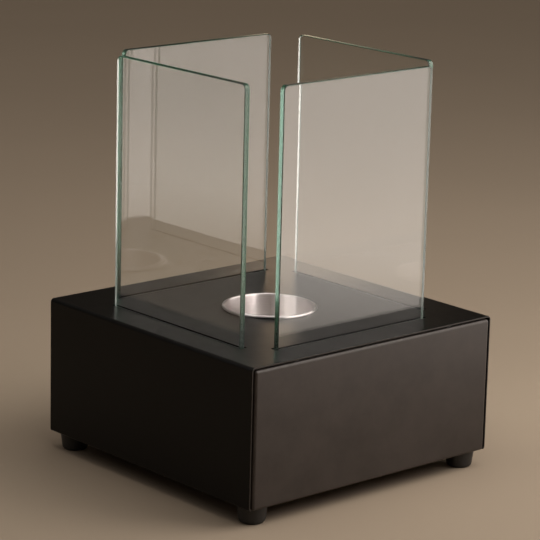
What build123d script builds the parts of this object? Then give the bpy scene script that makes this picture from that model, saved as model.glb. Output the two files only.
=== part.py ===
from build123d import *
import os
from math import ceil, cos, hypot, radians, sin

# Tabletop bioethanol fireplace. Millimetres, +Z up, front face towards -Y. The origin is on the surface
# that the feet stand on, under the middle of the casing.

# Casing
casing_width = 250.0  # across X
casing_depth = 250.0  # across Y, over the two panels
casing_height = 111.0  # underside to top face
sheet = 1.2  # gauge of the shell, the panels and the bottom plate
top_bend = 3.0  # outside radius of the bends between top and sides
lower_bend = 2.0  # outside radius of the bends into the return flanges
edge_break = 0.3  # rounding of cut sheet edges that a hand can reach
return_flange = 30.0  # from a side's outer face inwards
flange_gap = 0.5  # between a return flange and a panel's lower flange

# Front and rear panels
panel_gap = 1.1  # visible line between a panel and the top
panel_side_gap = 1.5  # visible line between a panel and each side
panel_proud = 1.2  # panel face in front of the shell's cut ends
panel_bend = 2.2  # outside radius of the rolled edges
panel_flange = 14.0  # depth of the upper and side flanges
panel_foot_flange = 30.0  # depth of the lower flange
panel_stud_pitch = 160.0  # between the two studs of a panel's upper flange

# Bottom plate and its screws
plate_clearance = 1.1  # bottom plate to the panels' inner faces, past their inside bends
base_screw_pitch = 100.0  # between the two screws along each side

# Glass
glass_thickness = 5.0
glass_height = 215.0
glass_seat_depth = 14.0  # lower edge of the glass below the top face
glass_inset = 28.0  # outer glass face from the casing's edge
glass_corner_gap = 20.5  # end of a pane from its neighbour's outer face
glass_corner = 4.0  # radius of the pane's corners
glass_arris = 0.5  # polished chamfer round both faces
slot_side_gap = 0.8  # glass face to slot wall
slot_end_gap = 2.5  # pane end to slot end
slot_corner = 1.0

# Seals and channels
seal_clearance = 0.3  # rubber to glass
seal_wall = 1.2
seal_web = 1.5  # rubber under the glass
seal_drop = 0.5  # upper edge of the rubber below the top sheet
channel_sheet = 1.0
channel_flange = 9.0
channel_stud_pitch = 55.0
channel_studs_per_side = 3

# Burner
rim_diameter = 72.5  # over the rolled rim
rim_bead = 1.2  # outside radius of the rolled bead
rim_seat = 0.08  # height ground off under the bead, so that it seats flat
rim_curl_end = 35.0  # degrees of the bead left open beside the wall
cup_wall = 0.8
cup_depth = 58.0  # below the top face
cup_corner = 4.0  # outside radius of the floor's edge
hole_clearance = 0.3  # cup to the hole in the top
wool_height = 28.0
wool_clearance = 0.3  # wool and disc to the cup wall
disc_sheet = 0.8
disc_skirt = 5.8
skirt_clearance = 0.4  # wool to the inside of the skirt
disc_hole = 4.0
disc_hole_pitch = 6.5
disc_border = 4.0  # unpierced edge of the disc

# Feet
foot_height = 14.0
foot_inset = 14.9  # foot centre from both casing edges
foot_top_diameter = 23.6
foot_sole_diameter = 20.0
foot_rounding = 2.5
foot_recess_diameter = 10.0
foot_recess_depth = 6.0

# Fasteners
m4 = 4.0
m4_flats = 7.0
m4_nut = 3.2
m4_head_diameter = 8.0
m4_head = 2.4
m4_socket_flats = 2.5
m4_socket_depth = 1.4
m4_washer_diameter = 9.0
m4_washer = 0.8
m3 = 3.0
m3_flats = 5.5
m3_nut = 2.4
hole_play = 0.4  # a clearance hole over its screw, on the diameter
thread_play = 0.1  # a nut over its screw, on the diameter
thread_end = 1.8  # screw or stud past its nut
nut_turning = 1.09  # a nut's turned corners over its flats
spacer_diameter = 9.0

# Levels
base_z = foot_height
top_z = base_z + casing_height
under_top_z = top_z - sheet
plate_z = base_z + sheet
plate_top_z = plate_z + sheet
glass_z = top_z - glass_seat_depth
panel_top_z = under_top_z - panel_gap
cup_z = top_z - cup_depth

# Shared plan sizes
half_width = casing_width / 2
half_depth = casing_depth / 2
panel_width = casing_width - 2 * (sheet + panel_side_gap)
panel_height = panel_top_z - base_z
panel_face_y = half_depth
shell_end_y = half_depth - panel_proud
cup_radius = rim_diameter / 2 - 2 * rim_bead + cup_wall
cup_bore = cup_radius - cup_wall
seal_width = glass_thickness + 2 * (seal_clearance + seal_wall)
slot_width = glass_thickness + 2 * slot_side_gap
pane_row_x = half_width - glass_inset - glass_thickness / 2
pane_row_y = half_depth - glass_inset - glass_thickness / 2
across_width = casing_width - 2 * (glass_inset + glass_corner_gap)
across_depth = casing_depth - 2 * (glass_inset + glass_corner_gap)
channel_stud_offset = seal_width / 2 + channel_sheet + (channel_flange - channel_sheet) / 2
stud_line = panel_face_y - panel_flange / 2
wool_top_z = cup_z + cup_wall + wool_height
shoulder_z = wool_top_z + disc_sheet - disc_skirt
m4_hole = m4 + hole_play
m3_hole = m3 + hole_play

# Each side of the glass square: where its pane stands, how it is turned and how wide the pane is. A piece is
# modelled along X with its outer side towards -Y, and then put there.
SIDES = {
    "front": (Location((0, -pane_row_y, 0), (0, 0, 0)), across_width),
    "right": (Location((pane_row_x, 0, 0), (0, 0, 90)), across_depth),
    "rear": (Location((0, pane_row_y, 0), (0, 0, 180)), across_width),
    "left": (Location((-pane_row_x, 0, 0), (0, 0, 270)), across_depth),
}
CORNERS = {
    "front_left": (foot_inset - half_width, foot_inset - half_depth),
    "front_right": (half_width - foot_inset, foot_inset - half_depth),
    "rear_right": (half_width - foot_inset, half_depth - foot_inset),
    "rear_left": (foot_inset - half_width, half_depth - foot_inset),
}


def block(x0, x1, y0, y1, z0, z1):
    """Box between two corners."""
    middle = Pos((x0 + x1) / 2, (y0 + y1) / 2, (z0 + z1) / 2)
    return middle * Box(x1 - x0, y1 - y0, z1 - z0)


def rod(diameter, z0, z1):
    """Upright cylinder on the Z axis."""
    return Pos(0, 0, (z0 + z1) / 2) * Cylinder(diameter / 2, z1 - z0)


def ring(outer, inner, z0, z1):
    """Upright tube on the Z axis."""
    return rod(outer, z0, z1) - rod(inner, z0, z1)


def hexagon(flats, z0, z1):
    """Upright hexagonal prism on the Z axis."""
    outline = RegularPolygon(flats / 2, 6, major_radius=False)
    return Pos(0, 0, z0) * extrude(outline, z1 - z0)


def nut(flats, thread, z0, thickness):
    """Hexagonal nut, upright on the Z axis."""
    body = hexagon(flats, z0, z0 + thickness) & rod(flats * nut_turning, z0, z0 + thickness)
    return body - rod(thread + thread_play, z0, z0 + thickness)


def button_screw(z_seat, z_end):
    """Button-head socket screw that points up, with its head under z_seat."""
    head = rod(m4_head_diameter, z_seat - m4_head, z_seat)
    head = fillet(head.edges().group_by(Axis.Z)[0], m4_head / 2)
    socket = hexagon(m4_socket_flats, z_seat - m4_head, z_seat - m4_head + m4_socket_depth)
    return head + rod(m4, z_seat, z_end) - socket


def group(solids):
    """Several solids as one node."""
    return Compound([s for part in solids for s in part.solids()])


def base_screw_places():
    """Screws through the flanges and the bottom plate, two along each side, in line with the feet."""
    half = base_screw_pitch / 2
    x_line = half_width - foot_inset
    y_line = half_depth - foot_inset
    along_sides = [(x, y) for x in (-x_line, x_line) for y in (-half, half)]
    along_ends = [(x, y) for x in (-half, half) for y in (-y_line, y_line)]
    return along_sides + along_ends


def panel_stud_places():
    """Studs of the panels' upper flanges."""
    half = panel_stud_pitch / 2
    return [(x, y) for x in (-half, half) for y in (-stud_line, stud_line)]


def channel_stud_xs():
    """Places along one channel of the studs that hold it."""
    middle = (channel_studs_per_side - 1) / 2
    return [(i - middle) * channel_stud_pitch for i in range(channel_studs_per_side)]


def slot_length(pane_width):
    return pane_width + 2 * slot_end_gap


def pane_slot(pane_width):
    """The cut that a pane passes through."""
    height = 4 * sheet
    tool = Pos(0, 0, top_z) * Box(slot_length(pane_width), slot_width, height)
    return fillet(tool.edges().filter_by(Axis.Z), slot_corner)


def cover_shell():
    """Top and both sides, folded from one sheet, with a return flange under each side."""
    middle_z = base_z + casing_height / 2
    outer = Rectangle(casing_width, casing_height)
    outer = fillet(outer.vertices().group_by(Axis.Y)[-1], top_bend)
    outer = fillet(outer.vertices().group_by(Axis.Y)[0], lower_bend)
    inner = Rectangle(casing_width - 2 * sheet, casing_height - 2 * sheet)
    inner = fillet(inner.vertices().group_by(Axis.Y)[-1], top_bend - sheet)
    inner = fillet(inner.vertices().group_by(Axis.Y)[0], lower_bend - sheet)
    mouth = Pos(0, -casing_height / 2) * Rectangle(casing_width - 2 * return_flange, 4 * sheet)
    section = Plane.XZ * (outer - inner - mouth)
    shell = Pos(0, 0, middle_z) * extrude(section, shell_end_y, both=True)
    ends = shell.faces().filter_by(Axis.Y).edges()
    shell = fillet(ends.filter_by(lambda edge: edge.center().Z > base_z + lower_bend), edge_break)
    notch_x = half_width - lower_bend
    notch_y = panel_face_y - panel_foot_flange - flange_gap
    for y0, y1 in ((-shell_end_y, -notch_y), (notch_y, shell_end_y)):
        shell -= block(-notch_x, notch_x, y0, y1, base_z, plate_z)
    for where, pane_width in SIDES.values():
        shell -= where * pane_slot(pane_width)
    shell -= rod(2 * (cup_radius + hole_clearance), under_top_z, top_z)
    for x, y in base_screw_places():
        shell -= Pos(x, y, 0) * rod(m4_hole, base_z, plate_z)
    return shell


def front_panel():
    """Pan that closes the front, with a deeper lower flange for the feet."""
    x = panel_width / 2
    y = -panel_face_y
    pan = block(-x, x, y, y + panel_flange, base_z, panel_top_z)
    rolled = pan.edges().filter_by(Axis.Y) + pan.edges().group_by(Axis.Y)[0]
    pan = fillet(rolled, panel_bend)
    hollow = block(sheet - x, x - sheet, y + sheet, y + 2 * panel_flange, plate_z, panel_top_z - sheet)
    rolled = hollow.edges().filter_by(Axis.Y) + hollow.edges().group_by(Axis.Y)[0]
    pan -= fillet(rolled, panel_bend - sheet)
    flat_x = x - panel_bend
    pan += block(-flat_x, flat_x, y + panel_bend, y + panel_foot_flange, base_z, plate_z)
    for sx, sy in CORNERS.values():
        pan -= Pos(sx, sy, 0) * rod(m4_hole, base_z, plate_z)
    for sx, sy in base_screw_places():
        pan -= Pos(sx, sy, 0) * rod(m4_hole, base_z, plate_z)
    for sx, sy in panel_stud_places():
        pan -= Pos(sx, sy, 0) * rod(m4_hole, panel_top_z - sheet, panel_top_z)
    return pan


def rear_panel():
    """The front panel's twin, turned to the rear."""
    return Rot(0, 0, 180) * front_panel()


def bottom_plate():
    """Flat plate that lies on the four lower flanges and ties them together."""
    x = panel_width / 2 - sheet - plate_clearance
    y = panel_face_y - sheet - plate_clearance
    plate = block(-x, x, -y, y, plate_z, plate_top_z)
    for px, py in base_screw_places() + list(CORNERS.values()):
        plate -= Pos(px, py, 0) * rod(m4_hole, plate_z, plate_top_z)
    return plate


def glass_pane(pane_width):
    """Float glass with rounded corners and a polished arris."""
    pane = Pos(0, 0, glass_z + glass_height / 2) * Box(pane_width, glass_thickness, glass_height)
    pane = fillet(pane.edges().filter_by(Axis.Y), glass_corner)
    faces = pane.faces().filter_by(Axis.Y)
    return chamfer(faces.edges(), glass_arris)


def glass_seal(pane_width):
    """Rubber strip of U section that the lower edge of the pane stands in."""
    half = seal_width / 2
    length = slot_length(pane_width) / 2
    strip = block(-length, length, -half, half, glass_z - seal_web, under_top_z - seal_drop)
    groove = half - seal_wall
    return strip - block(-length, length, -groove, groove, glass_z, under_top_z)


def glass_channel(pane_width):
    """Sheet channel round the seal, hung from the top by its outer flange."""
    half = seal_width / 2
    wall = half + channel_sheet
    length = slot_length(pane_width) / 2
    floor_z = glass_z - seal_web
    trough = block(-length, length, -wall, wall, floor_z - channel_sheet, under_top_z)
    flange_z = under_top_z - channel_sheet
    trough += block(-length, length, -half - channel_flange, 0, flange_z, under_top_z)
    trough -= block(-length, length, -half, half, floor_z, under_top_z)
    for x in channel_stud_xs():
        trough -= Pos(x, -channel_stud_offset, 0) * rod(m3_hole, flange_z, under_top_z)
    return trough


def along_channels(fastener):
    """One fastener at each stud of the four channels."""
    row = [Pos(x, -channel_stud_offset, 0) * fastener for x in channel_stud_xs()]
    return group(where * one for where, _ in SIDES.values() for one in row)


def channel_studs():
    """Studs welded under the top for the four channels."""
    end_z = under_top_z - channel_sheet - m3_nut - thread_end
    stud = rod(m3, end_z, under_top_z)
    return along_channels(stud)


def channel_nuts():
    """Nuts under the channels' flanges."""
    one = nut(m3_flats, m3, under_top_z - channel_sheet - m3_nut, m3_nut)
    return along_channels(one)


def panel_studs():
    """Studs welded under the top for the panels' upper flanges."""
    end_z = panel_top_z - sheet - m4_nut - thread_end
    return group(Pos(x, y, 0) * rod(m4, end_z, under_top_z) for x, y in panel_stud_places())


def panel_spacers():
    """Rings that hold the panels at the visible gap under the top."""
    one = ring(spacer_diameter, m4_hole, panel_top_z, under_top_z)
    return group(Pos(x, y, 0) * one for x, y in panel_stud_places())


def panel_nuts():
    """Nuts under the panels' upper flanges."""
    one = nut(m4_flats, m4, panel_top_z - sheet - m4_nut, m4_nut)
    return group(Pos(x, y, 0) * one for x, y in panel_stud_places())


def base_screws():
    """Screws up through the lower flanges and the bottom plate."""
    one = button_screw(base_z, plate_top_z + m4_nut + thread_end)
    return group(Pos(x, y, 0) * one for x, y in base_screw_places())


def base_nuts():
    """Nuts of the base screws, on the bottom plate."""
    one = nut(m4_flats, m4, plate_top_z, m4_nut)
    return group(Pos(x, y, 0) * one for x, y in base_screw_places())


def foot():
    """Tapered rubber foot with a recess for its bolt's head."""
    sole = foot_sole_diameter / 2
    top = foot_top_diameter / 2
    section = Polygon((0, 0), (sole, 0), (top, foot_height), (0, foot_height), align=None)
    sole_corner = section.vertices().group_by(Axis.Y)[0].sort_by(Axis.X)[-1]
    body = revolve(Plane.XZ * fillet(sole_corner, foot_rounding), Axis.Z)
    body -= rod(foot_recess_diameter, 0, foot_recess_depth)
    return body - rod(m4_hole, 0, foot_height)


def foot_bolts():
    """Bolts from the feet's recesses up through the panels' lower flanges and the bottom plate."""
    one = button_screw(foot_recess_depth - m4_washer, plate_top_z + m4_nut + thread_end)
    return group(Pos(x, y, 0) * one for x, y in CORNERS.values())


def foot_washers():
    """Washers between the bolts' heads and the rubber."""
    one = ring(m4_washer_diameter, m4_hole, foot_recess_depth - m4_washer, foot_recess_depth)
    return group(Pos(x, y, 0) * one for x, y in CORNERS.values())


def foot_nuts():
    """Nuts of the foot bolts, on the bottom plate."""
    one = nut(m4_flats, m4, plate_top_z, m4_nut)
    return group(Pos(x, y, 0) * one for x, y in CORNERS.values())


def burner_cup():
    """Drawn cup whose rim is rolled outwards into a bead that sits on the top."""
    bead_x = rim_diameter / 2 - rim_bead
    bead_z = top_z + rim_bead - rim_seat
    past = 2 * rim_bead
    end_x = -past * cos(radians(rim_curl_end))
    end_z = -past * sin(radians(rim_curl_end))
    open_wedge = Polygon((0, 0), (-past, 0), (-past, end_z), (end_x, end_z), align=None)
    curl = Pos(bead_x, bead_z) * (Circle(rim_bead) - Circle(rim_bead - cup_wall) - open_wedge)
    curl -= Pos(bead_x, top_z - rim_bead) * Rectangle(2 * past, 2 * rim_bead)
    body = Pos(cup_radius / 2, (cup_z + bead_z) / 2) * Rectangle(cup_radius, bead_z - cup_z)
    low_corner = body.vertices().group_by(Axis.Y)[0].sort_by(Axis.X)[-1]
    body = fillet(low_corner, cup_corner)
    floor_z = cup_z + cup_wall
    cavity = Pos(cup_bore / 2, (floor_z + bead_z) / 2) * Rectangle(cup_bore, bead_z - floor_z)
    low_corner = cavity.vertices().group_by(Axis.Y)[0].sort_by(Axis.X)[-1]
    cavity = fillet(low_corner, cup_corner - cup_wall)
    section = Plane.XZ * (body - cavity + curl)
    return revolve(section, Axis.Z)


def burner_wool():
    """Ceramic wool pad on the cup's floor, with a shoulder that carries the disc's skirt."""
    floor_z = cup_z + cup_wall
    wide = 2 * (cup_bore - wool_clearance)
    narrow = wide - 2 * (disc_sheet + skirt_clearance)
    pad = rod(wide, floor_z, shoulder_z)
    pad = fillet(pad.edges().group_by(Axis.Z)[0], cup_corner)
    return pad + rod(narrow, shoulder_z, wool_top_z)


def burner_disc():
    """Perforated disc over the wool, with a turned-down skirt."""
    outer = 2 * (cup_bore - wool_clearance)
    top = wool_top_z + disc_sheet
    disc = rod(outer, shoulder_z, top)
    disc = fillet(disc.edges().group_by(Axis.Z)[-1], disc_sheet)
    disc -= rod(outer - 2 * disc_sheet, shoulder_z, wool_top_z)
    reach = outer / 2 - disc_border - disc_hole / 2
    row_step = disc_hole_pitch * cos(radians(30))
    rows = ceil(reach / row_step)
    holes = []
    for row in range(-rows, rows + 1):
        shift = (row % 2) / 2
        for i in range(-2 * rows, 2 * rows + 1):
            x = (i + shift) * disc_hole_pitch
            y = row * row_step
            if hypot(x, y) <= reach:
                holes.append(Pos(x, y, 0) * rod(disc_hole, wool_top_z, top))
    return disc - holes


NODES = {
    "cover_shell": cover_shell,
    "front_panel": front_panel,
    "rear_panel": rear_panel,
    "bottom_plate": bottom_plate,
    "channel_studs": channel_studs,
    "channel_nuts": channel_nuts,
    "panel_studs": panel_studs,
    "panel_spacers": panel_spacers,
    "panel_nuts": panel_nuts,
    "base_screws": base_screws,
    "base_nuts": base_nuts,
    "foot_bolts": foot_bolts,
    "foot_washers": foot_washers,
    "foot_nuts": foot_nuts,
    "burner_cup": burner_cup,
    "burner_wool": burner_wool,
    "burner_disc": burner_disc,
}

os.makedirs("parts", exist_ok=True)
for node, make in NODES.items():
    export_step(make(), f"parts/{node}.step")
for side, (where, pane_width) in SIDES.items():
    export_step(where * glass_pane(pane_width), f"parts/glass_pane_{side}.step")
    export_step(where * glass_seal(pane_width), f"parts/glass_seal_{side}.step")
    export_step(where * glass_channel(pane_width), f"parts/glass_channel_{side}.step")
for corner, (x, y) in CORNERS.items():
    export_step(Pos(x, y, 0) * foot(), f"parts/foot_{corner}.step")
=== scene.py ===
"""Looks of a tabletop bioethanol fireplace: glass, burner, coats, metals, rubber, stage and camera."""

import math

import bmesh
import bpy
from bpy.props import FloatProperty, FloatVectorProperty, IntProperty, PointerProperty
from mathutils import Matrix, Vector


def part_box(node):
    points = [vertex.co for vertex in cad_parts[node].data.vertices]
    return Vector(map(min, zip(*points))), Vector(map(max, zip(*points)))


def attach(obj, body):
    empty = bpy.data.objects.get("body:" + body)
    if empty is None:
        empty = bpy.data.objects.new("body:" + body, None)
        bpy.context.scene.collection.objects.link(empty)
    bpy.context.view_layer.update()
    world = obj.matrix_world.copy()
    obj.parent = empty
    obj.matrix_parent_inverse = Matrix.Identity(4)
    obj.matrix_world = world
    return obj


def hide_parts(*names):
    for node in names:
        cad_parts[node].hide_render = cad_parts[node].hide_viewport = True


bl_info = {
    "name": "Tabletop Bioethanol Fireplace",
    "version": (1, 0, 0),
    "blender": (4, 5, 0),
    "location": "3D View > Sidebar > Fireplace",
    "description": "Builds the glass, the burner, the finishes and the studio of a tabletop fireplace",
    "category": "Add Mesh",
}

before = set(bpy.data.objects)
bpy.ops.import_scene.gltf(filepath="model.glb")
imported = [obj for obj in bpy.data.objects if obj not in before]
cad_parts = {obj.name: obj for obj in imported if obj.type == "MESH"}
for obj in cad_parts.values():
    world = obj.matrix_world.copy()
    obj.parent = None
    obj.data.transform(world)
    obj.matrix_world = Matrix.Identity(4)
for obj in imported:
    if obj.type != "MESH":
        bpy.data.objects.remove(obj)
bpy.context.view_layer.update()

SIDES = ("front", "right", "rear", "left")
CORNERS = ("front_left", "front_right", "rear_right", "rear_left")
BRIGHT_FASTENERS = (
    "channel_studs",
    "channel_nuts",
    "panel_studs",
    "panel_nuts",
    "base_nuts",
    "foot_nuts",
    "foot_washers",
)
BLACK_FASTENERS = ("base_screws", "foot_bolts")
STRIP_CARDS = (  # name, azimuth in degrees, width in metres, level of brightness
    ("front", 6, 0.22, 8.0),
    ("right", 26, 0.03, 18.0),
    ("left", -90, 0.05, 18.0),
    ("rear", -115, 0.13, 12.0),
)

TINY = 1e-6  # width of the plane that a turned piece starts from, in metres
MERGE = 1e-7  # points closer than this become one, in metres
FACE, TOP, FOOT, END = range(4)  # a pane's finishes, in the order of its material slots

NOISE_LOW, NOISE_HIGH = 0.3, 0.7  # soft noise seldom leaves this range
MOTTLE_LOW, MOTTLE_HIGH = 0.80, 1.18  # levels of a coat's darker and paler patches
DUST_LEVEL = 2.2  # level of the dust on a coat
RUB_AND_HIGHLIGHT_SHARE = 0.6  # how much of the rubbed colour, partly wear and partly painted highlight, the mask brings
RUB_SHINE = 0.03  # how much smoother a coat is where it is worn
SMEAR_DULL = 0.05  # how much rougher a coat is where it was wiped
GLOSS_SPREAD = 0.025  # how far a finish's roughness strays either way
WHITE = (1.0, 1.0, 1.0, 1.0)


def length(name, description, default):
    """A length in metres that a user can change."""
    return FloatProperty(
        name=name, description=description, default=default, min=0.0, precision=5, unit="LENGTH"
    )


def share(name, description, default):
    """A share, from 0 to 1."""
    return FloatProperty(name=name, description=description, default=default, min=0.0, max=1.0)


def number(name, description, default, least=0.0):
    """A plain number with no upper limit."""
    return FloatProperty(name=name, description=description, default=default, min=least)


def count(name, description, default, least=1):
    """A whole number of things."""
    return IntProperty(name=name, description=description, default=default, min=least)


def colour(name, description, default):
    """A linear colour."""
    return FloatVectorProperty(
        name=name, description=description, default=default, subtype="COLOR", size=3, min=0.0, max=1.0
    )


def angle(name, description, default):
    """An angle, given in degrees."""
    return FloatProperty(
        name=name, description=description, default=math.radians(default), subtype="ANGLE"
    )


class CoatSettings(bpy.types.PropertyGroup):
    """Powder coat of the casing, one black coat set darker on the cover and paler on the panels, which is
    painted shade and painted light.
    """

    # painted shade: the cover's coat is a darker copy of the panels' black coat, so its faces read as shaded
    shell_shaded_colour: colour("Shell colour", "Coat of the folded cover", (0.0034, 0.0029, 0.0025))
    # painted light: the panels' coat is a paler copy of the cover's black coat, so they read as lit from the
    # front
    panel_lit_colour: colour("Panel colour", "Coat of the front and rear panels", (0.0412, 0.0322, 0.0280))
    plate_colour: colour("Plate colour", "Coat of the bottom plate", (0.018, 0.0165, 0.0155))
    # partly wear and partly painted highlight: the paler colour along the casing's edges and the cover's cut
    # ends
    rubbed_and_highlight_colour: colour("Rubbed colour", "Coat where hands have polished the edges", (0.085, 0.074, 0.066))
    shell_gloss: share("Shell roughness", "Roughness of the cover's satin coat", 0.305)
    panel_gloss: share("Panel roughness", "Roughness of the coat of the panels and plate", 0.42)
    shell_index: number("Shell index", "Index of refraction of the cover's coat", 1.26, 1.0)
    panel_index: number("Panel index", "Index of refraction of the coat of the panels and plate", 1.42, 1.0)
    grain: length("Grain", "Width of the coat's ripples", 0.0011)
    shell_depth: length("Shell ripples", "Depth of the ripples on the cover", 0.000004)
    panel_depth: length("Panel ripples", "Depth of the ripples on the panels and plate", 0.000024)
    shell_nibs: share("Shell nibs", "Height of the cover's fine nibs, against its ripples", 0.15)
    panel_nibs: share("Panel nibs", "Height of the panels' fine nibs, against their ripples", 0.45)
    dust: share("Dust", "How much the dust shows", 0.25)
    # reach of the wear and painted highlight along edges and cut ends
    rub_and_highlight_reach: length("Rub reach", "How far the wear runs in from an edge", 0.0018)
    cut_rub_and_highlight_reach: length("Cut reach", "How far the wear runs in from the cover's cut ends", 0.0005)


class GlassSettings(bpy.types.PropertyGroup):
    """The four panes."""

    corner: length("Corner radius", "Rounding of a pane's corners", 0.004)
    corner_steps: count("Corner steps", "Faces round each corner", 14, 2)
    arris: length("Arris", "Width of the polished chamfer along both faces", 0.0005)
    absorbed: colour("Glass colour", "What the glass lets through", (0.36, 0.79, 0.65))
    density: number("Density", "How strongly the glass colours light", 4.5)
    ior: number("Index", "Index of refraction", 1.52, 1.0)
    smear_colour: colour("Smear colour", "What a wiped mark on a face lets through", (0.985, 0.99, 0.985))
    wave: length("Wave", "Depth of the wide waves in a face", 0.000001)
    edge_colour: colour("Edge colour", "Tint of the polished edges", (0.90, 1.0, 0.97))
    edge_gloss: share("Edge roughness", "Roughness of the polished edges", 0.15)
    edge_loss: share("Edge loss", "Share of the light inside a pane that meets fine marks on its edges", 0.62)
    mark_colour: colour("Mark colour", "Fine marks on the edges, seen from inside", (0.36, 0.41, 0.38))
    top_haze: share("Top haze", "Share of the light that the upper edges scatter", 0.05)
    end_haze: share("End haze", "Share of the light that the upright ends scatter", 0.13)
    # painted shade: the near-black tone stands in for the dark slot that the lower edge stands in; the matt
    # finish is real
    ground_and_slot_shade_colour: colour("Ground colour", "Lower edge, ground matt for its seal", (0.03, 0.045, 0.04))


class FittingSettings(bpy.types.PropertyGroup):
    """Seals, channels, spacers, feet and fasteners."""

    seal_colour: colour("Seal colour", "Rubber that the panes stand in", (0.012, 0.012, 0.012))
    foot_colour: colour("Foot colour", "Rubber of the feet", (0.009, 0.0082, 0.0078))
    spacer_colour: colour("Spacer colour", "Nylon of the panels' spacers", (0.03, 0.03, 0.03))
    dust_colour: colour("Dust colour", "Dust on rubber and nylon", (0.25, 0.24, 0.22))
    sheet_colour: colour("Sheet colour", "Zinc-plated sheet of the channels", (0.60, 0.61, 0.62))
    zinc_colour: colour("Zinc colour", "Bright zinc of the studs, nuts and washers", (0.64, 0.65, 0.66))
    oxide_colour: colour("Oxide colour", "Black oxide of the screws and bolts", (0.045, 0.044, 0.043))


class BurnerSettings(bpy.types.PropertyGroup):
    """Burner cup, disc and wool."""

    wall: length("Wall", "Thickness of the cup's sheet", 0.0008)
    bead: length("Bead", "Outside radius of the rolled rim", 0.0012)
    bead_flat: length("Bead flat", "Height of the flat that the rim rests on", 0.00008)
    open_curl: angle("Open curl", "Part of the bead that stays open beside the wall", 35.0)
    floor_corner: length("Floor corner", "Outside radius between wall and floor", 0.004)
    steps: count("Steps", "Faces round the cup", 160, 16)
    bead_steps: count("Bead steps", "Faces round the rolled rim", 22, 4)
    steel_colour: colour("Steel colour", "Polished stainless steel", (0.77, 0.71, 0.715))
    steel_gloss: share("Steel roughness", "Roughness of the polished cup", 0.30)
    disc_colour: colour("Disc colour", "Satin stainless steel of the disc", (0.62, 0.60, 0.575))
    heat_colour: colour("Heat colour", "Straw colour that heat gives the disc", (0.46, 0.36, 0.22))
    wool_colour: colour("Wool colour", "Ceramic wool", (0.78, 0.765, 0.73))
    tuft: length("Tuft", "Height of the wool's unevenness", 0.00035)
    wool_step: length("Wool step", "How much narrower the wool is inside the disc's skirt", 0.0012)
    wool_foot: length("Wool foot", "Rounding under the wool", 0.004)
    wool_brow: length("Wool brow", "Rounding over the wool", 0.001)


class StageSettings(bpy.types.PropertyGroup):
    """Floor, lamps and camera."""

    floor_colour: colour("Floor colour", "Plain pale floor", (0.50, 0.395, 0.295))
    floor_radius: length("Floor radius", "Half the width of the floor", 6.0)
    ceiling_colour: colour("Ceiling light", "Light from above", (0.38, 0.355, 0.325))
    side_colour: colour("Side light", "Light from all round", (0.024, 0.018, 0.0125))
    lamp_colour: colour("Lamp colour", "Light of the softboxes", (1.0, 0.955, 0.905))
    window_colour: colour("Window card", "Large board that the front pane mirrors", (1.0, 0.91, 0.84))
    left_colour: colour("Left card", "Long low board to the left", (1.0, 0.86, 0.72))
    back_colour: colour("Back card", "Low board behind", (1.0, 0.73, 0.50))
    high_colour: colour("High card", "High board behind", (1.0, 0.80, 0.62))
    strip_distance: length("Strip distance", "From the upright axis to the strip cards", 0.8)
    strip_height: length("Strip height", "Height of the strip cards' middle", 0.90)
    strip_length: length("Strip length", "Length of the strip cards", 0.7)
    turn: angle("Camera azimuth", "Camera's turn round the fireplace", -41.4982)
    rise: angle("Camera elevation", "Camera's angle over the table", 14.2306)
    roll: angle("Camera roll", "Lean of the picture", 1.4117)
    distance: length("Camera distance", "Camera to the point that it looks at", 2.17876)
    aim: FloatVectorProperty(
        name="Aim",
        description="Point that the camera looks at",
        default=(0.079127, 0.090152, 0.125),
        unit="LENGTH",
    )
    view: angle("View angle", "Angle of view across the picture", 11.9257)
    bounces: count("Bounces", "Turns that light may take on its way along a pane", 28)


SETTINGS = {
    "fireplace_coat": CoatSettings,
    "fireplace_glass": GlassSettings,
    "fireplace_fittings": FittingSettings,
    "fireplace_burner": BurnerSettings,
    "fireplace_stage": StageSettings,
}


# Modelling


def begin(piece):
    """Makes one piece the selected and active one."""
    bpy.ops.object.select_all(action="DESELECT")
    piece.select_set(True)
    bpy.context.view_layer.objects.active = piece


def new_piece(name):
    """Names the primitive that was just added and sets its place in its mesh."""
    piece = bpy.context.object
    piece.name = name
    piece.data.name = name
    begin(piece)
    bpy.ops.object.transform_apply(location=True, rotation=True, scale=True)
    return piece


def pick(piece, wanted):
    """Selects, in edit mode, the edges for which wanted is true."""
    bpy.ops.mesh.select_mode(type="EDGE")
    bpy.ops.mesh.select_all(action="DESELECT")
    for edge in bmesh.from_edit_mesh(piece.data).edges:
        if wanted(edge):
            edge.select_set(True)
    bmesh.update_edit_mesh(piece.data)


def smooth(piece, degrees):
    """Smooth shading, except over edges sharper than an angle."""
    begin(piece)
    bpy.ops.object.shade_smooth_by_angle(angle=math.radians(degrees))


def turned(name, profile, steps):
    """Spins a line of (radius, height) points about the upright axis through the origin."""
    bpy.ops.object.select_all(action="DESELECT")
    start = profile[0]
    bpy.ops.mesh.primitive_plane_add(size=TINY, location=(start[0], 0, start[1]))
    piece = new_piece(name)
    bpy.ops.object.mode_set(mode="EDIT")
    bpy.ops.mesh.select_mode(type="VERT")
    bpy.ops.mesh.select_all(action="SELECT")
    bpy.ops.mesh.merge(type="CENTER")
    for here, there in zip(profile, profile[1:]):
        step = (there[0] - here[0], 0, there[1] - here[1])
        bpy.ops.mesh.extrude_vertices_move(TRANSFORM_OT_translate={"value": step})
    bpy.ops.mesh.select_all(action="SELECT")
    bpy.ops.mesh.spin(steps=steps, angle=2 * math.pi, center=(0, 0, 0), axis=(0, 0, 1))
    bpy.ops.mesh.select_all(action="SELECT")
    bpy.ops.mesh.remove_doubles(threshold=MERGE)
    bpy.ops.mesh.normals_make_consistent(inside=False)
    bpy.ops.object.mode_set(mode="OBJECT")
    return piece


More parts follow.
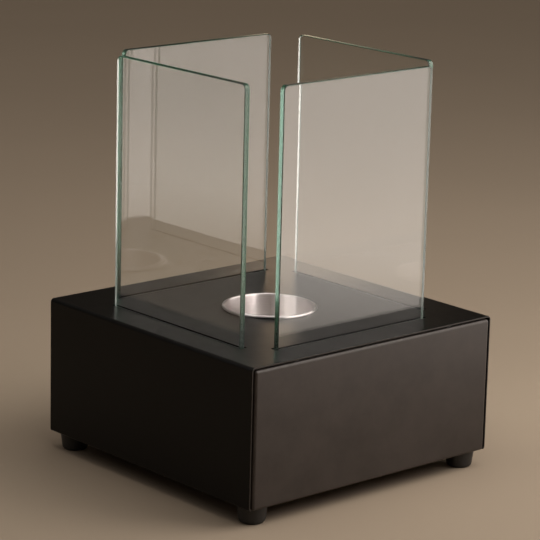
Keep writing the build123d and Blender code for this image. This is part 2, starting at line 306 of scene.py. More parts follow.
def arc(centre, radius, first, last, steps):
    """Points (radius, height) of an arc, with its angles in degrees from the outward direction."""
    turns = [math.radians(first + (last - first) * i / steps) for i in range(steps + 1)]
    return [(centre[0] + radius * math.cos(t), centre[1] + radius * math.sin(t)) for t in turns]


# Nodes


def join(tree, value, socket):
    """Links another node's output to an input, or sets a plain value on it."""
    if isinstance(value, bpy.types.NodeSocket):
        tree.links.new(value, socket)
    else:
        socket.default_value = value


def put(tree, kind, inputs=None, **attributes):
    """Adds a node. An input is given by name or number, and is a value or another node's output."""
    node = tree.nodes.new(kind)
    for key, value in attributes.items():
        setattr(node, key, value)
    for key, value in (inputs or {}).items():
        join(tree, value, node.inputs[key])
    return node


def maths(tree, operation, *values):
    """A Math node's output."""
    return put(tree, "ShaderNodeMath", dict(enumerate(values)), operation=operation).outputs[0]


def span(tree, value, low, high, to_low, to_high):
    """Maps a value from one range to another, held at both ends."""
    given = {"Value": value, "From Min": low, "From Max": high, "To Min": to_low, "To Max": to_high}
    return put(tree, "ShaderNodeMapRange", given).outputs[0]


def spread(tree, value, low=0.0, high=1.0):
    """Spreads soft noise over a range."""
    return span(tree, value, NOISE_LOW, NOISE_HIGH, low, high)


def held(tree, value):
    """A value held between 0 and 1."""
    return put(tree, "ShaderNodeClamp", {0: value}).outputs[0]


def blend(tree, factor, first, second):
    """Mixes two colours."""
    return put(tree, "ShaderNodeMix", {0: factor, 6: first, 7: second}, data_type="RGBA").outputs[2]


def rgba(value, level=1.0):
    """A colour property as four numbers, at a level of brightness."""
    return (*(min(1.0, channel * level) for channel in value), 1.0)


def object_place(tree):
    """The point on the surface, in the object's own metres."""
    return put(tree, "ShaderNodeTexCoord").outputs["Object"]


def split(tree, vector):
    """A vector's three parts."""
    return put(tree, "ShaderNodeSeparateXYZ", {0: vector}).outputs


def stretched(tree, place, factors):
    """The same point with each axis scaled."""
    return put(tree, "ShaderNodeVectorMath", {0: place, 1: factors}, operation="MULTIPLY").outputs[0]


def off_axis(tree, place):
    """How far a point lies from the upright axis."""
    level = stretched(tree, place, (1, 1, 0))
    return put(tree, "ShaderNodeVectorMath", {0: level}, operation="LENGTH").outputs[1]


def noise(tree, place, size, detail=3.0, roughness=0.5):
    """Soft noise whose features are about one size across, in metres."""
    inputs = {"Vector": place, "Scale": 1.0 / size, "Detail": detail, "Roughness": roughness}
    return put(tree, "ShaderNodeTexNoise", inputs).outputs[0]


def group(name, inputs, outputs, fill):
    """A node group, built once: fill(tree, source, sink) makes what is inside. Its outputs are numbers."""
    found = bpy.data.node_groups.get(name)
    if found:
        return found
    tree = bpy.data.node_groups.new(name, "ShaderNodeTree")
    for socket, kind, default in inputs:
        made = tree.interface.new_socket(name=socket, in_out="INPUT", socket_type=kind)
        made.default_value = default
    for socket in outputs:
        tree.interface.new_socket(name=socket, in_out="OUTPUT", socket_type="NodeSocketFloat")
    source = tree.nodes.new("NodeGroupInput")
    sink = tree.nodes.new("NodeGroupOutput")
    fill(tree, source.outputs, sink.inputs)
    return tree


def use(tree, made, inputs=None):
    """Places a node group in a material and returns its outputs."""
    return put(tree, "ShaderNodeGroup", inputs, node_tree=made).outputs


def coat_grain():
    """Ripples, fine nibs and cloudy patches of a powder coat."""
    finer = 2.3  # nibs to one ripple

    def fill(tree, source, sink):
        place = object_place(tree)
        fineness = maths(tree, "DIVIDE", 1.0, source["Size"])
        given = {"Vector": place, "Scale": fineness, "Detail": 2.0, "Roughness": 0.45}
        ripple = put(tree, "ShaderNodeTexNoise", given).outputs[0]
        given = {"Vector": place, "Scale": maths(tree, "MULTIPLY", fineness, finer)}
        nibs = put(tree, "ShaderNodeTexVoronoi", given).outputs["Distance"]
        raised = span(tree, nibs, 0.05, 0.45, 1.0, 0.0)
        mixed = maths(tree, "ADD", ripple, maths(tree, "MULTIPLY", raised, source["Nibs"]))
        tree.links.new(mixed, sink["Height"])
        cloud = noise(tree, place, size=0.022, detail=5.0, roughness=0.65)
        tree.links.new(spread(tree, cloud), sink["Mottle"])

    inputs = [("Size", "NodeSocketFloat", 0.001), ("Nibs", "NodeSocketFloat", 0.2)]
    return group("Coat grain", inputs, ["Height", "Mottle"], fill)


def edge_rub_and_highlight():
    """Mask of wear and painted highlight on a box-shaped piece that stands on a level: along its edges, or on
    its front and rear ends.
    """

    def fill(tree, source, sink):
        place = object_place(tree)
        across, deep, height = split(tree, place)
        middle = maths(tree, "SUBTRACT", height, source["Middle Height"])
        gaps = [
            maths(tree, "SUBTRACT", half, maths(tree, "ABSOLUTE", value))
            for half, value in zip(split(tree, source["Half Size"]), (across, deep, middle))
        ]
        nearest = maths(tree, "MINIMUM", gaps[0], gaps[1])
        further = maths(tree, "MAXIMUM", gaps[0], gaps[1])
        second = maths(tree, "MAXIMUM", nearest, maths(tree, "MINIMUM", further, gaps[2]))
        patchy = noise(tree, place, size=0.006, detail=5.0, roughness=0.65)
        reach = maths(tree, "MULTIPLY", source["Reach"], span(tree, patchy, 0.35, 0.7, 0.15, 1.6))
        for socket, gap in (("Mask", second), ("Cut", gaps[1])):
            worn_and_lit = maths(tree, "SUBTRACT", 1.0, maths(tree, "DIVIDE", gap, reach))
            tree.links.new(held(tree, worn_and_lit), sink[socket])

    inputs = [
        ("Half Size", "NodeSocketVector", (0.1, 0.1, 0.1)),
        ("Middle Height", "NodeSocketFloat", 0.0),
        ("Reach", "NodeSocketFloat", 0.001),
    ]
    return group("Edge rub and highlight", inputs, ["Mask", "Cut"], fill)


def handling():
    """Dust specks and faint wiped marks."""
    specks_per_metre = 260.0

    def fill(tree, source, sink):
        place = object_place(tree)
        wiped = noise(tree, stretched(tree, place, (1.0, 0.35, 1.0)), size=0.05, detail=5.0, roughness=0.6)
        tree.links.new(span(tree, wiped, 0.42, 0.72, 0.0, 1.0), sink["Smear"])
        given = {"Vector": place, "Scale": specks_per_metre}
        specks = put(tree, "ShaderNodeTexVoronoi", given).outputs["Distance"]
        sparse = span(tree, noise(tree, place, size=0.03, detail=2.0), 0.5, 0.75, 0.0, 1.0)
        dust = maths(tree, "MULTIPLY", span(tree, specks, 0.03, 0.09, 1.0, 0.0), sparse)
        tree.links.new(dust, sink["Dust"])

    return group("Handling marks", [], ["Smear", "Dust"], fill)


def drawn_lines():
    """Fine rings and wider bands round the upright axis, as polishing on a lathe leaves."""
    run_per_radian = 0.004  # metres of pattern to one radian, short so that the lines run round

    def fill(tree, source, sink):
        place = object_place(tree)
        across, deep, height = split(tree, place)
        run = maths(tree, "MULTIPLY", maths(tree, "ARCTAN2", deep, across), run_per_radian)
        given = {0: run, 1: off_axis(tree, place), 2: height}
        flat = put(tree, "ShaderNodeCombineXYZ", given).outputs[0]
        tree.links.new(noise(tree, flat, size=0.00022, detail=2.0, roughness=0.7), sink["Fine"])
        wide = noise(tree, flat, size=0.0016, detail=3.0, roughness=0.6)
        tree.links.new(spread(tree, wide), sink["Bands"])

    return group("Drawn lines", [], ["Fine", "Bands"], fill)


def shader(name):
    """A new material with its tree and its Principled shader."""
    made = bpy.data.materials.new(name)
    made.use_nodes = True
    tree = made.node_tree
    return made, tree, tree.nodes["Principled BSDF"]


def bump(tree, height, distance):
    """The normal that a height of 0 to 1 gives, as deep as distance in metres."""
    return put(tree, "ShaderNodeBump", {"Height": height, "Distance": distance, "Strength": 1.0}).outputs[0]


def feed(tree, body, **sockets):
    """Links outputs to, or sets values on, the shader's sockets. A name's underscore stands for a space."""
    for key, value in sockets.items():
        join(tree, value, body.inputs[key.replace("_", " ")])


def coat(node, look, paint, roughness, index, depth, nibs, wear_and_highlight, reach):
    """Powder coat of one node: ripples, nibs, dust, wiped marks, and a paler colour from its outer edges in
    that is partly wear and partly painted highlight.
    """
    low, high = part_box(node)
    centre = (low + high) / 2
    half = (high - low) / 2
    half.x += abs(centre.x)
    half.y += abs(centre.y)
    made, tree, body = shader(f"{node}_coat")
    grains = use(tree, coat_grain(), {"Size": look.grain, "Nibs": nibs})
    worn_and_lit = use(tree, edge_rub_and_highlight(), {"Half Size": half, "Middle Height": centre.z, "Reach": reach})[wear_and_highlight]
    marks = use(tree, handling())
    base = blend(tree, grains["Mottle"], rgba(paint, MOTTLE_LOW), rgba(paint, MOTTLE_HIGH))
    base = blend(tree, maths(tree, "MULTIPLY", marks["Dust"], look.dust), base, rgba(paint, DUST_LEVEL))
    # paler edges: partly wear, partly a painted highlight where edges catch the light
    base = blend(tree, maths(tree, "MULTIPLY", worn_and_lit, RUB_AND_HIGHLIGHT_SHARE), base, rgba(look.rubbed_and_highlight_colour))
    gloss = span(tree, grains["Mottle"], 0.0, 1.0, roughness - GLOSS_SPREAD, roughness + GLOSS_SPREAD)
    gloss = maths(tree, "ADD", gloss, maths(tree, "MULTIPLY", marks["Smear"], SMEAR_DULL))
    gloss = maths(tree, "SUBTRACT", gloss, maths(tree, "MULTIPLY", worn_and_lit, RUB_SHINE))
    feed(tree, body, Base_Color=base, Roughness=gloss, Normal=bump(tree, grains["Height"], depth), IOR=index)
    return made


def cad(node, made):
    """Gives a node of the frame its finish."""
    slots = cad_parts[node].data.materials
    slots.clear()
    slots.append(made)


def ready(piece, body, slot, *nodes):
    """Ties a modelled piece to its body and hides the nodes that it stands for. The slot is not used."""
    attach(piece, body)
    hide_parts(*nodes)


class FIREPLACE_OT_casing(bpy.types.Operator):
    """Coats the cover, the two panels and the bottom plate"""

    bl_idname = "fireplace.casing"
    bl_label = "Casing"

    def execute(self, context):
        look = context.scene.fireplace_coat
        satin = {
            "roughness": look.shell_gloss,
            "index": look.shell_index,
            "depth": look.shell_depth,
            "nibs": look.shell_nibs,
            "wear_and_highlight": "Cut",
            "reach": look.cut_rub_and_highlight_reach,
        }
        textured = {
            "roughness": look.panel_gloss,
            "index": look.panel_index,
            "depth": look.panel_depth,
            "nibs": look.panel_nibs,
            "wear_and_highlight": "Mask",
            "reach": look.rub_and_highlight_reach,
        }
        # the cover gets the shaded copy and the panels the lit copy of one black coat: painted shade and
        # painted light
        for node, paint, finish in (
            ("cover_shell", look.shell_shaded_colour, satin),
            ("front_panel", look.panel_lit_colour, textured),
            ("rear_panel", look.panel_lit_colour, textured),
            ("bottom_plate", look.plate_colour, textured),
        ):
            cad(node, coat(node, look, paint, **finish))
        return {"FINISHED"}


def fill_glass(tree, surface, look):
    """Lets the lamps through a glass surface, where shadows are cast, and puts green glass behind it."""
    shadow = put(tree, "ShaderNodeLightPath").outputs["Is Shadow Ray"]
    through = put(tree, "ShaderNodeBsdfTransparent").outputs[0]
    mixed = put(tree, "ShaderNodeMixShader", {0: shadow, 1: surface, 2: through})
    inside = put(tree, "ShaderNodeVolumeAbsorption", {"Color": rgba(look.absorbed), "Density": look.density})
    out = tree.nodes["Material Output"].inputs
    tree.links.new(mixed.outputs[0], out["Surface"])
    tree.links.new(inside.outputs[0], out["Volume"])


def glass_face(look):
    """Fire-finished face of float glass, with wide shallow waves and faint wiped marks."""
    made, tree, body = shader("clear_glass_face")
    smear = use(tree, handling())["Smear"]
    waves = noise(tree, object_place(tree), size=0.05, detail=1.0)
    feed(
        tree,
        body,
        Base_Color=blend(tree, smear, WHITE, rgba(look.smear_colour)),
        Roughness=0.0,
        Transmission_Weight=1.0,
        IOR=look.ior,
        Normal=bump(tree, waves, look.wave),
    )
    fill_glass(tree, body.outputs[0], look)
    return made


def glass_edge(name, look, haze):
    """Polished edge of float glass, whose fine marks scatter light, and more of it from inside the pane."""
    made, tree, body = shader(name)
    wheel = noise(tree, object_place(tree), size=0.0012, detail=3.0, roughness=0.6)
    feed(
        tree,
        body,
        Base_Color=blend(tree, wheel, rgba(look.edge_colour, 0.92), rgba(look.edge_colour)),
        Roughness=spread(tree, wheel, look.edge_gloss * 0.9, look.edge_gloss * 1.1),
        Transmission_Weight=1.0 - haze,
        IOR=look.ior,
    )
    within = put(tree, "ShaderNodeNewGeometry").outputs["Backfacing"]
    loss = maths(tree, "MULTIPLY", within, look.edge_loss)
    marks = put(tree, "ShaderNodeBsdfDiffuse", {"Color": rgba(look.mark_colour)}).outputs[0]
    mixed = put(tree, "ShaderNodeMixShader", {0: loss, 1: body.outputs[0], 2: marks})
    fill_glass(tree, mixed.outputs[0], look)
    return made


def ground_glass(look):
    """Glass ground matt, as a pane's lower edge is left, in a near-black tone that is painted shade of the
    slot that the edge stands in.
    """
    made, tree, body = shader("ground_glass_edge_slot_shade")
    grit = noise(tree, object_place(tree), size=0.0002, detail=4.0, roughness=0.7)
    # near-black tone of the lower edge: painted shade of the slot
    dark, pale = rgba(look.ground_and_slot_shade_colour, 0.8), rgba(look.ground_and_slot_shade_colour, 1.3)
    base = blend(tree, spread(tree, grit), dark, pale)
    feed(tree, body, Base_Color=base, Roughness=0.6, IOR=look.ior, Normal=bump(tree, grit, 0.00001))
    return made


def glass_pane(side, look):
    """A pane, as a block with rounded corners and a polished arris round both faces, and its thin axis."""
    low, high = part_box(f"glass_pane_{side}")
    size = high - low
    thin = 0 if size.x < size.y else 1
    bpy.ops.object.select_all(action="DESELECT")
    bpy.ops.mesh.primitive_cube_add(size=1, location=(low + high) / 2, scale=size)
    pane = new_piece(f"pane_{side}")
    bpy.ops.object.mode_set(mode="EDIT")
    pick(pane, lambda e: abs((e.verts[0].co - e.verts[1].co)[thin]) > size[thin] / 2)
    bpy.ops.mesh.bevel(offset=look.corner, segments=look.corner_steps, affect="EDGES")
    pick(pane, lambda e: len({abs(round(f.normal[thin])) for f in e.link_faces}) == 2)
    bpy.ops.mesh.bevel(offset=look.arris, segments=1, affect="EDGES")
    bpy.ops.object.mode_set(mode="OBJECT")
    smooth(pane, 20)
    return pane, thin


def pane_finish(normal, thin):
    """Which of a pane's finishes a polygon has, by the way that it looks."""
    if abs(normal[thin]) > 0.9:
        return FACE
    if normal.z > 0.6:
        return TOP
    if normal.z < -0.6:
        return FOOT
    return END


class FIREPLACE_OT_glass(bpy.types.Operator):
    """Models the four panes"""

    bl_idname = "fireplace.glass"
    bl_label = "Glass panes"

    def execute(self, context):
        look = context.scene.fireplace_glass
        finishes = {
            FACE: glass_face(look),
            TOP: glass_edge("clear_glass_edge", look, look.top_haze),
            FOOT: ground_glass(look),
            END: glass_edge("clear_glass_end", look, look.end_haze),
        }
        for side in SIDES:
            pane, thin = glass_pane(side, look)
            for finish in sorted(finishes):
                pane.data.materials.append(finishes[finish])
            for polygon in pane.data.polygons:
                polygon.material_index = pane_finish(polygon.normal, thin)
            ready(pane, f"pane_{side}", "clear_glass", f"glass_pane_{side}")
        return {"FINISHED"}


def rubber(name, look, paint, size):
    """Moulded rubber or nylon with a fine matt skin, faint bloom and dust."""
    made, tree, body = shader(name)
    skin = noise(tree, object_place(tree), size, detail=4.0, roughness=0.6)
    marks = use(tree, handling())
    base = blend(tree, spread(tree, skin), rgba(paint, 0.75), rgba(paint, 1.25))
    base = blend(tree, maths(tree, "MULTIPLY", marks["Dust"], 0.4), base, rgba(look.dust_colour))
    gloss = span(tree, marks["Smear"], 0.0, 1.0, 0.42, 0.60)
    feed(tree, body, Base_Color=base, Roughness=gloss, Normal=bump(tree, skin, 0.00002))
    return made


def plated(name, paint, roughness, size):
    """Plated or brushed metal with streaks and cloudy tone."""
    made, tree, body = shader(name)
    place = object_place(tree)
    streak = noise(tree, stretched(tree, place, (0.08, 1.0, 1.0)), size, detail=4.0, roughness=0.6)
    cloud = spread(tree, noise(tree, place, size=0.012))
    base = blend(tree, cloud, rgba(paint, 0.86), rgba(paint, 1.06))
    gloss = spread(tree, streak, roughness - 0.06, roughness + 0.06)
    feed(tree, body, Base_Color=base, Roughness=gloss, Normal=bump(tree, streak, 0.000004), Metallic=1.0)
    return made


class FIREPLACE_OT_fittings(bpy.types.Operator):
    """Finishes the seals, channels, spacers and feet"""

    bl_idname = "fireplace.fittings"
    bl_label = "Seals, channels and feet"

    def execute(self, context):
        look = context.scene.fireplace_fittings
        seal = rubber("seal_rubber_skin", look, look.seal_colour, size=0.0006)
        foot = rubber("foot_rubber_skin", look, look.foot_colour, size=0.0008)
        spacer = rubber("spacer_nylon_skin", look, look.spacer_colour, size=0.0005)
        sheet = plated("zinc_sheet_skin", look.sheet_colour, roughness=0.34, size=0.0006)
        for side in SIDES:
            cad(f"glass_seal_{side}", seal)
            cad(f"glass_channel_{side}", sheet)
        for corner in CORNERS:
            cad(f"foot_{corner}", foot)
        cad("panel_spacers", spacer)
        return {"FINISHED"}


class FIREPLACE_OT_fasteners(bpy.types.Operator):
    """Finishes the screws, studs, nuts and washers"""

    bl_idname = "fireplace.fasteners"
    bl_label = "Fasteners"

    def execute(self, context):
        look = context.scene.fireplace_fittings
        zinc = plated("bright_zinc", look.zinc_colour, roughness=0.34, size=0.0003)
        oxide = plated("black_oxide", look.oxide_colour, roughness=0.38, size=0.0003)
        for node in BRIGHT_FASTENERS:
            cad(node, zinc)
        for node in BLACK_FASTENERS:
            cad(node, oxide)
        return {"FINISHED"}


def cup_profile(look):
    """The drawn cup's section, from the middle of its floor up, round the rolled rim and back inside."""
    low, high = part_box("burner_cup")
    corner_steps, rows = 8, 6
    bore = high.x - 2 * look.bead
    outer = bore + look.wall
    bead = (high.x - look.bead, high.z - look.bead)
    knee = low.z + look.floor_corner
    floor = low.z + look.wall
    rise = [knee + (bead[1] - knee) * i / rows for i in range(1, rows)]
    points = [(0.0, low.z), (outer / 2, low.z)]
    points += arc((outer - look.floor_corner, knee), look.floor_corner, -90, 0, corner_steps)
    points += [(outer, z) for z in rise]
    last = 180 - math.degrees(look.open_curl)
    inner_curl = arc(bead, look.bead - look.wall, 180, -last, look.bead_steps)
    outer_curl = arc(bead, look.bead, -last, 180, look.bead_steps)
    seat = bead[1] - look.bead + look.bead_flat
    points += [(r, max(z, seat)) for r, z in inner_curl + outer_curl]
    points += [(bore, z) for z in reversed(rise)]
    small = look.floor_corner - look.wall
    points += arc((bore - small, knee), small, 0, -90, corner_steps)
    points += [(bore / 2, floor), (0.0, floor)]
    return points


def polished_steel(look):
    """Deep-drawn stainless steel, polished round the axis."""
    made, tree, body = shader("polished_steel_skin")
    lines = use(tree, drawn_lines())
    smear = maths(tree, "MULTIPLY", use(tree, handling())["Smear"], 0.03)
    low, high = look.steel_gloss - GLOSS_SPREAD, look.steel_gloss + GLOSS_SPREAD
    feed(
        tree,
        body,
        Base_Color=blend(tree, lines["Bands"], rgba(look.steel_colour, 0.95), rgba(look.steel_colour, 1.03)),
        Roughness=maths(tree, "ADD", spread(tree, lines["Fine"], low, high), smear),
        Metallic=1.0,
        Anisotropic=1.0,
        Anisotropic_Rotation=0.25,
        Tangent=put(tree, "ShaderNodeTangent", direction_type="RADIAL", axis="Z").outputs[0],
        Normal=bump(tree, lines["Fine"], 0.0000015),
    )
    return made


def pierced_steel(look):
    """Satin stainless disc with a little heat colour in its middle."""
    made, tree, body = shader("pierced_steel_skin")
    place = object_place(tree)
    lines = noise(tree, stretched(tree, place, (1.0, 0.03, 1.0)), size=0.0002, detail=3.0, roughness=0.6)
    wander = maths(tree, "MULTIPLY", noise(tree, place, size=0.02), 0.012)
    uneven = maths(tree, "ADD", off_axis(tree, place), wander)
    heat = span(tree, uneven, 0.012, 0.036, 0.45, 0.0)
    feed(
        tree,
        body,
        Base_Color=blend(tree, heat, rgba(look.disc_colour), rgba(look.heat_colour)),
        Roughness=spread(tree, lines, 0.28, 0.40),
        Metallic=1.0,
        Normal=bump(tree, lines, 0.000003),
    )
    return made


def wool_skin(look):
    """White ceramic fibre, with strands that cross and wander."""
    made, tree, body = shader("ceramic_wool_skin")
    place = object_place(tree)
    wander = put(tree, "ShaderNodeTexNoise", {"Vector": place, "Scale": 220.0}).outputs[1]
    bend = stretched(tree, wander, (0.006, 0.006, 0.006))
    bent = put(tree, "ShaderNodeVectorMath", {0: place, 1: bend}, operation="ADD").outputs[0]
    ways = ((0.15, 1, 1), (1, 0.15, 1))
    strands = [noise(tree, stretched(tree, bent, way), 0.0004, roughness=0.7) for way in ways]
    fibre = maths(tree, "MAXIMUM", *strands)
    paler = span(tree, fibre, 0.4, 0.7, 0.0, 1.0)
    base = blend(tree, paler, rgba(look.wool_colour, 0.72), rgba(look.wool_colour, 1.1))
    feed(tree, body, Base_Color=base, Roughness=0.95, Normal=bump(tree, fibre, 0.0003))
    return made


def wool_profile(look):
    """The pad's section, with a shoulder for the disc's skirt, from the middle of its underside up."""
    low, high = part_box("burner_wool")
    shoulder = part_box("burner_disc")[0].z
    rows, top_rows, neck = 14, 30, 0.0015
    wide = high.x - look.tuft
    narrow = wide - look.wool_step
    top = high.z - look.tuft
    bottom = low.z + look.tuft
    ledge = shoulder - look.tuft
    knee = bottom + look.wool_foot
    points = [(wide * i / rows, bottom) for i in range(rows)]
    points += arc((wide - look.wool_foot, knee), look.wool_foot, -90, 0, 6)
    points += [(wide, knee + (ledge - knee) * i / rows) for i in range(1, rows + 1)]
    points += [(narrow, ledge), (narrow, shoulder + neck), (narrow, shoulder + 2 * neck)]
    points += arc((narrow - look.wool_brow, top - look.wool_brow), look.wool_brow, 0, 90, 3)
    points += [(wide * i / top_rows, top) for i in range(top_rows - 2, -1, -1)]
    return points


class FIREPLACE_OT_burner(bpy.types.Operator):
    """Models the burner's cup and wool and finishes its disc"""

    bl_idname = "fireplace.burner"
    bl_label = "Burner"

    def execute(self, context):
        look = context.scene.fireplace_burner
        cup = turned("cup", cup_profile(look), look.steps)
        cup.data.materials.append(polished_steel(look))
        smooth(cup, 50)
        ready(cup, "burner", "polished_steel", "burner_cup")
        cad("burner_disc", pierced_steel(look))
        self.make_wool(look)
        return {"FINISHED"}

    def make_wool(self, look):
        """A dense fibre pad with a soft, uneven skin."""
        pad = turned("wool", wool_profile(look), 96)
        bpy.ops.object.mode_set(mode="EDIT")
        bpy.ops.mesh.select_all(action="SELECT")
        bpy.ops.transform.vertex_random(offset=look.tuft * 0.8, uniform=0.0, normal=0.6, seed=4)
        bpy.ops.object.mode_set(mode="OBJECT")
        bpy.ops.object.modifier_add(type="SUBSURF")
        finer = pad.modifiers[-1]
        finer.levels = 1
        bpy.ops.object.modifier_apply(modifier=finer.name)
        pad.data.materials.append(wool_skin(look))
        smooth(pad, 60)
        ready(pad, "burner", "ceramic_wool", "burner_wool")


def soft_border(tree, across, size, soft):
    """A factor that rises from nothing at a board's borders to one inside them."""
    factors = []
    for axis, side in zip(split(tree, across), size):
        inside = maths(tree, "SUBTRACT", 0.5, maths(tree, "ABSOLUTE", maths(tree, "SUBTRACT", axis, 0.5)))
        factors.append(span(tree, inside, 0.0, min(0.45, soft / side), 0.0, 1.0))
    return maths(tree, "MULTIPLY", *factors)


def lean(place, aim, front):
    """The turn of a board at a place whose front, along Z or -Z, looks at aim."""
    way = Vector(aim) - Vector(place)
    return (way * front).to_track_quat("Z", "Y").to_euler()


def lamp(name, place, aim, size, level, tint, lights=True, shows=True, soft=0.1):
    """A softbox of a width and height, with a level of brightness and soft borders.

    It lights what is round it, or shows as a reflection, or both. The camera doesn't see it.
    """
    bpy.ops.object.light_add(type="AREA", location=place)
    made = bpy.context.object
    made.name = name
    made.rotation_euler = lean(place, aim, -1)
    made.data.shape = "RECTANGLE"
    made.data.size, made.data.size_y = size
    made.data.energy = level * math.pi * size[0] * size[1]
    made.data.color = tint
    made.visible_camera = made.visible_transmission = False
    made.visible_diffuse = lights
    made.visible_glossy = shows
    made.data.use_nodes = True
    tree = made.data.node_tree
    across = put(tree, "ShaderNodeNewGeometry").outputs["Parametric"]
    tree.links.new(soft_border(tree, across, size, soft), tree.nodes["Emission"].inputs["Strength"])


def window_card(place, aim, size, level, tint, soft=0.1):
    """A bright board that shows on its front as a reflection, and in the light that the panes' edges turn.

    Nothing of it is seen by the camera or straight through a pane.
    """
    bpy.ops.object.select_all(action="DESELECT")
    turn = lean(place, aim, 1)
    bpy.ops.mesh.primitive_plane_add(size=1, location=place, rotation=turn, scale=(*size, 1))
    card = new_piece("window_card")
    made = bpy.data.materials.new("window_card")
    made.use_nodes = True
    made.cycles.emission_sampling = "NONE"
    tree = made.node_tree
    path = put(tree, "ShaderNodeLightPath").outputs
    unturned = maths(tree, "SUBTRACT", 1.0, maths(tree, "GREATER_THAN", path["Glossy Depth"], 0.5))
    straight = maths(tree, "MULTIPLY", path["Is Transmission Ray"], unturned)
    front = maths(tree, "SUBTRACT", 1.0, put(tree, "ShaderNodeNewGeometry").outputs["Backfacing"])
    shown = maths(tree, "MULTIPLY", front, maths(tree, "SUBTRACT", 1.0, straight))
    across = put(tree, "ShaderNodeTexCoord").outputs["UV"]
    shown = maths(tree, "MULTIPLY", shown, soft_border(tree, across, size, soft))
    glow = put(tree, "ShaderNodeEmission", {"Color": rgba(tint), "Strength": level}).outputs[0]
    clear = put(tree, "ShaderNodeBsdfTransparent").outputs[0]
    mixed = put(tree, "ShaderNodeMixShader", {0: shown, 1: clear, 2: glow}).outputs[0]
    tree.links.new(mixed, tree.nodes["Material Output"].inputs["Surface"])
    card.data.materials.append(made)
    card.visible_camera = card.visible_diffuse = card.visible_shadow = False


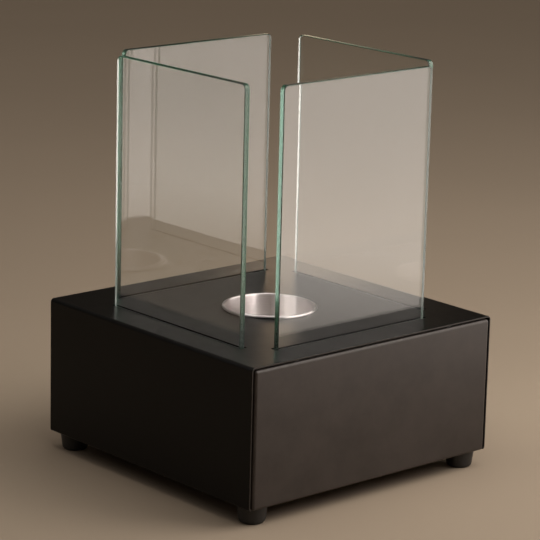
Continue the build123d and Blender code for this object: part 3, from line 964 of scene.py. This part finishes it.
class FIREPLACE_OT_stage(bpy.types.Operator):
    """Sets the floor, the lamps, the room's light and the camera"""

    bl_idname = "fireplace.stage"
    bl_label = "Stage"

    def execute(self, context):
        look = context.scene.fireplace_stage
        self.make_floor(look)
        self.make_room(context, look)
        self.make_lamps(look)
        self.make_camera(context, look)
        context.scene.view_settings.view_transform = "Standard"
        paths = context.scene.cycles
        paths.max_bounces = paths.glossy_bounces = paths.transmission_bounces = look.bounces
        return {"FINISHED"}

    def make_floor(self, look):
        """A wide plain floor with faint clouds of tone."""
        bpy.ops.object.select_all(action="DESELECT")
        bpy.ops.mesh.primitive_circle_add(vertices=96, radius=look.floor_radius, fill_type="NGON")
        floor = new_piece("floor")
        made, tree, body = shader("pale_floor")
        cloud = spread(tree, noise(tree, object_place(tree), size=0.35, detail=4.0))
        base = blend(tree, cloud, rgba(look.floor_colour, 0.985), rgba(look.floor_colour, 1.015))
        feed(tree, body, Base_Color=base, Roughness=0.75, Specular_IOR_Level=0.2)
        floor.data.materials.append(made)

    def make_room(self, context, look):
        """Soft light from all round, which gathers overhead."""
        gathered = 2.5
        world = bpy.data.worlds.new("room")
        context.scene.world = world
        world.use_nodes = True
        tree = world.node_tree
        height = split(tree, put(tree, "ShaderNodeTexCoord").outputs["Generated"])[2]
        rise = maths(tree, "POWER", held(tree, height), gathered)
        glow = blend(tree, rise, rgba(look.side_colour), rgba(look.ceiling_colour))
        tree.links.new(glow, tree.nodes["Background"].inputs["Color"])

    def make_lamps(self, look):
        """Two softboxes, and boards that show only as reflections."""
        white = look.lamp_colour
        burner = (0.0, 0.0, 0.12)
        lamp(
            "key_softbox",
            place=(0.85, -0.80, 1.00),
            aim=(0.05, -0.05, 0.12),
            size=(1.2, 1.0),
            level=3.2,
            tint=white,
            shows=False,
        )
        lamp("top_softbox", place=(0.10, -0.25, 1.40), aim=burner, size=(1.2, 1.2), level=1.1, tint=white)
        window_card(
            place=(0.33, -0.35, 0.45),
            aim=(0.0, 0.0, 0.45),
            size=(1.3, 0.74),
            level=2.75,
            tint=look.window_colour,
        )
        for name, azimuth, width, level in STRIP_CARDS:
            turn = math.radians(azimuth)
            distance = look.strip_distance
            lamp(
                f"{name}_strip_card",
                place=(distance * math.sin(turn), -distance * math.cos(turn), look.strip_height),
                aim=burner,
                size=(width, look.strip_length),
                level=level,
                tint=white,
                lights=False,
                soft=0.01,
            )
        for name, place, aim, size, level, tint in (
            ("burner_card", (0.0, 0.0, 1.0), burner, (0.5, 0.5), 0.6, white),
            ("left_card", (-0.45, 0.50, 0.14), (0.0, 0.50, 0.14), (1.2, 0.15), 0.3, look.left_colour),
            ("back_card", (0.76, 0.80, 0.33), (0.01, -0.01, 0.33), (0.22, 0.26), 3.5, look.back_colour),
            ("high_card", (0.77, 0.79, 0.53), (0.02, -0.02, 0.53), (0.28, 0.24), 0.3, look.high_colour),
        ):
            lamp(name, place, aim, size, level, tint, lights=False)

    def make_camera(self, context, look):
        """A camera at the photograph's viewing angle."""
        turn, rise = look.turn, look.rise
        back = Vector((math.sin(turn) * math.cos(rise), -math.cos(turn) * math.cos(rise), math.sin(rise)))
        right = Vector((0.0, 0.0, 1.0)).cross(back).normalized()
        up = back.cross(right)
        side = math.cos(look.roll) * right + math.sin(look.roll) * up
        head = math.cos(look.roll) * up - math.sin(look.roll) * right
        bpy.ops.object.camera_add()
        camera = bpy.context.object
        camera.name = "photo_view"
        turned_to = Matrix((side, head, back)).transposed().to_4x4()
        camera.matrix_world = Matrix.Translation(Vector(look.aim) + back * look.distance) @ turned_to
        camera.data.sensor_width = 36.0
        camera.data.lens = camera.data.sensor_width / 2 / math.tan(look.view / 2)
        camera.data.clip_start = 0.05
        camera.data.clip_end = 50.0
        context.scene.camera = camera


STEPS = (
    FIREPLACE_OT_casing,
    FIREPLACE_OT_glass,
    FIREPLACE_OT_fittings,
    FIREPLACE_OT_fasteners,
    FIREPLACE_OT_burner,
    FIREPLACE_OT_stage,
)


class FIREPLACE_PT_panel(bpy.types.Panel):
    """Lists the steps and the sizes and colours that they use"""

    bl_idname = "FIREPLACE_PT_panel"
    bl_label = "Tabletop fireplace"
    bl_space_type = "VIEW_3D"
    bl_region_type = "UI"
    bl_category = "Fireplace"

    def draw(self, context):
        for step in STEPS:
            self.layout.operator(step.bl_idname)
        for name, settings in SETTINGS.items():
            box = self.layout.box()
            box.label(text=settings.__doc__)
            for key in settings.__annotations__:
                box.prop(getattr(context.scene, name), key)


CLASSES = (*SETTINGS.values(), *STEPS, FIREPLACE_PT_panel)


def register():
    for made in CLASSES:
        bpy.utils.register_class(made)
    for name, settings in SETTINGS.items():
        setattr(bpy.types.Scene, name, PointerProperty(type=settings))


def unregister():
    for name in SETTINGS:
        delattr(bpy.types.Scene, name)
    for made in reversed(CLASSES):
        bpy.utils.unregister_class(made)


def main():
    register()
    bpy.ops.fireplace.casing()
    bpy.ops.fireplace.glass()
    bpy.ops.fireplace.fittings()
    bpy.ops.fireplace.fasteners()
    bpy.ops.fireplace.burner()
    bpy.ops.fireplace.stage()


if __name__ == "__main__":
    main()
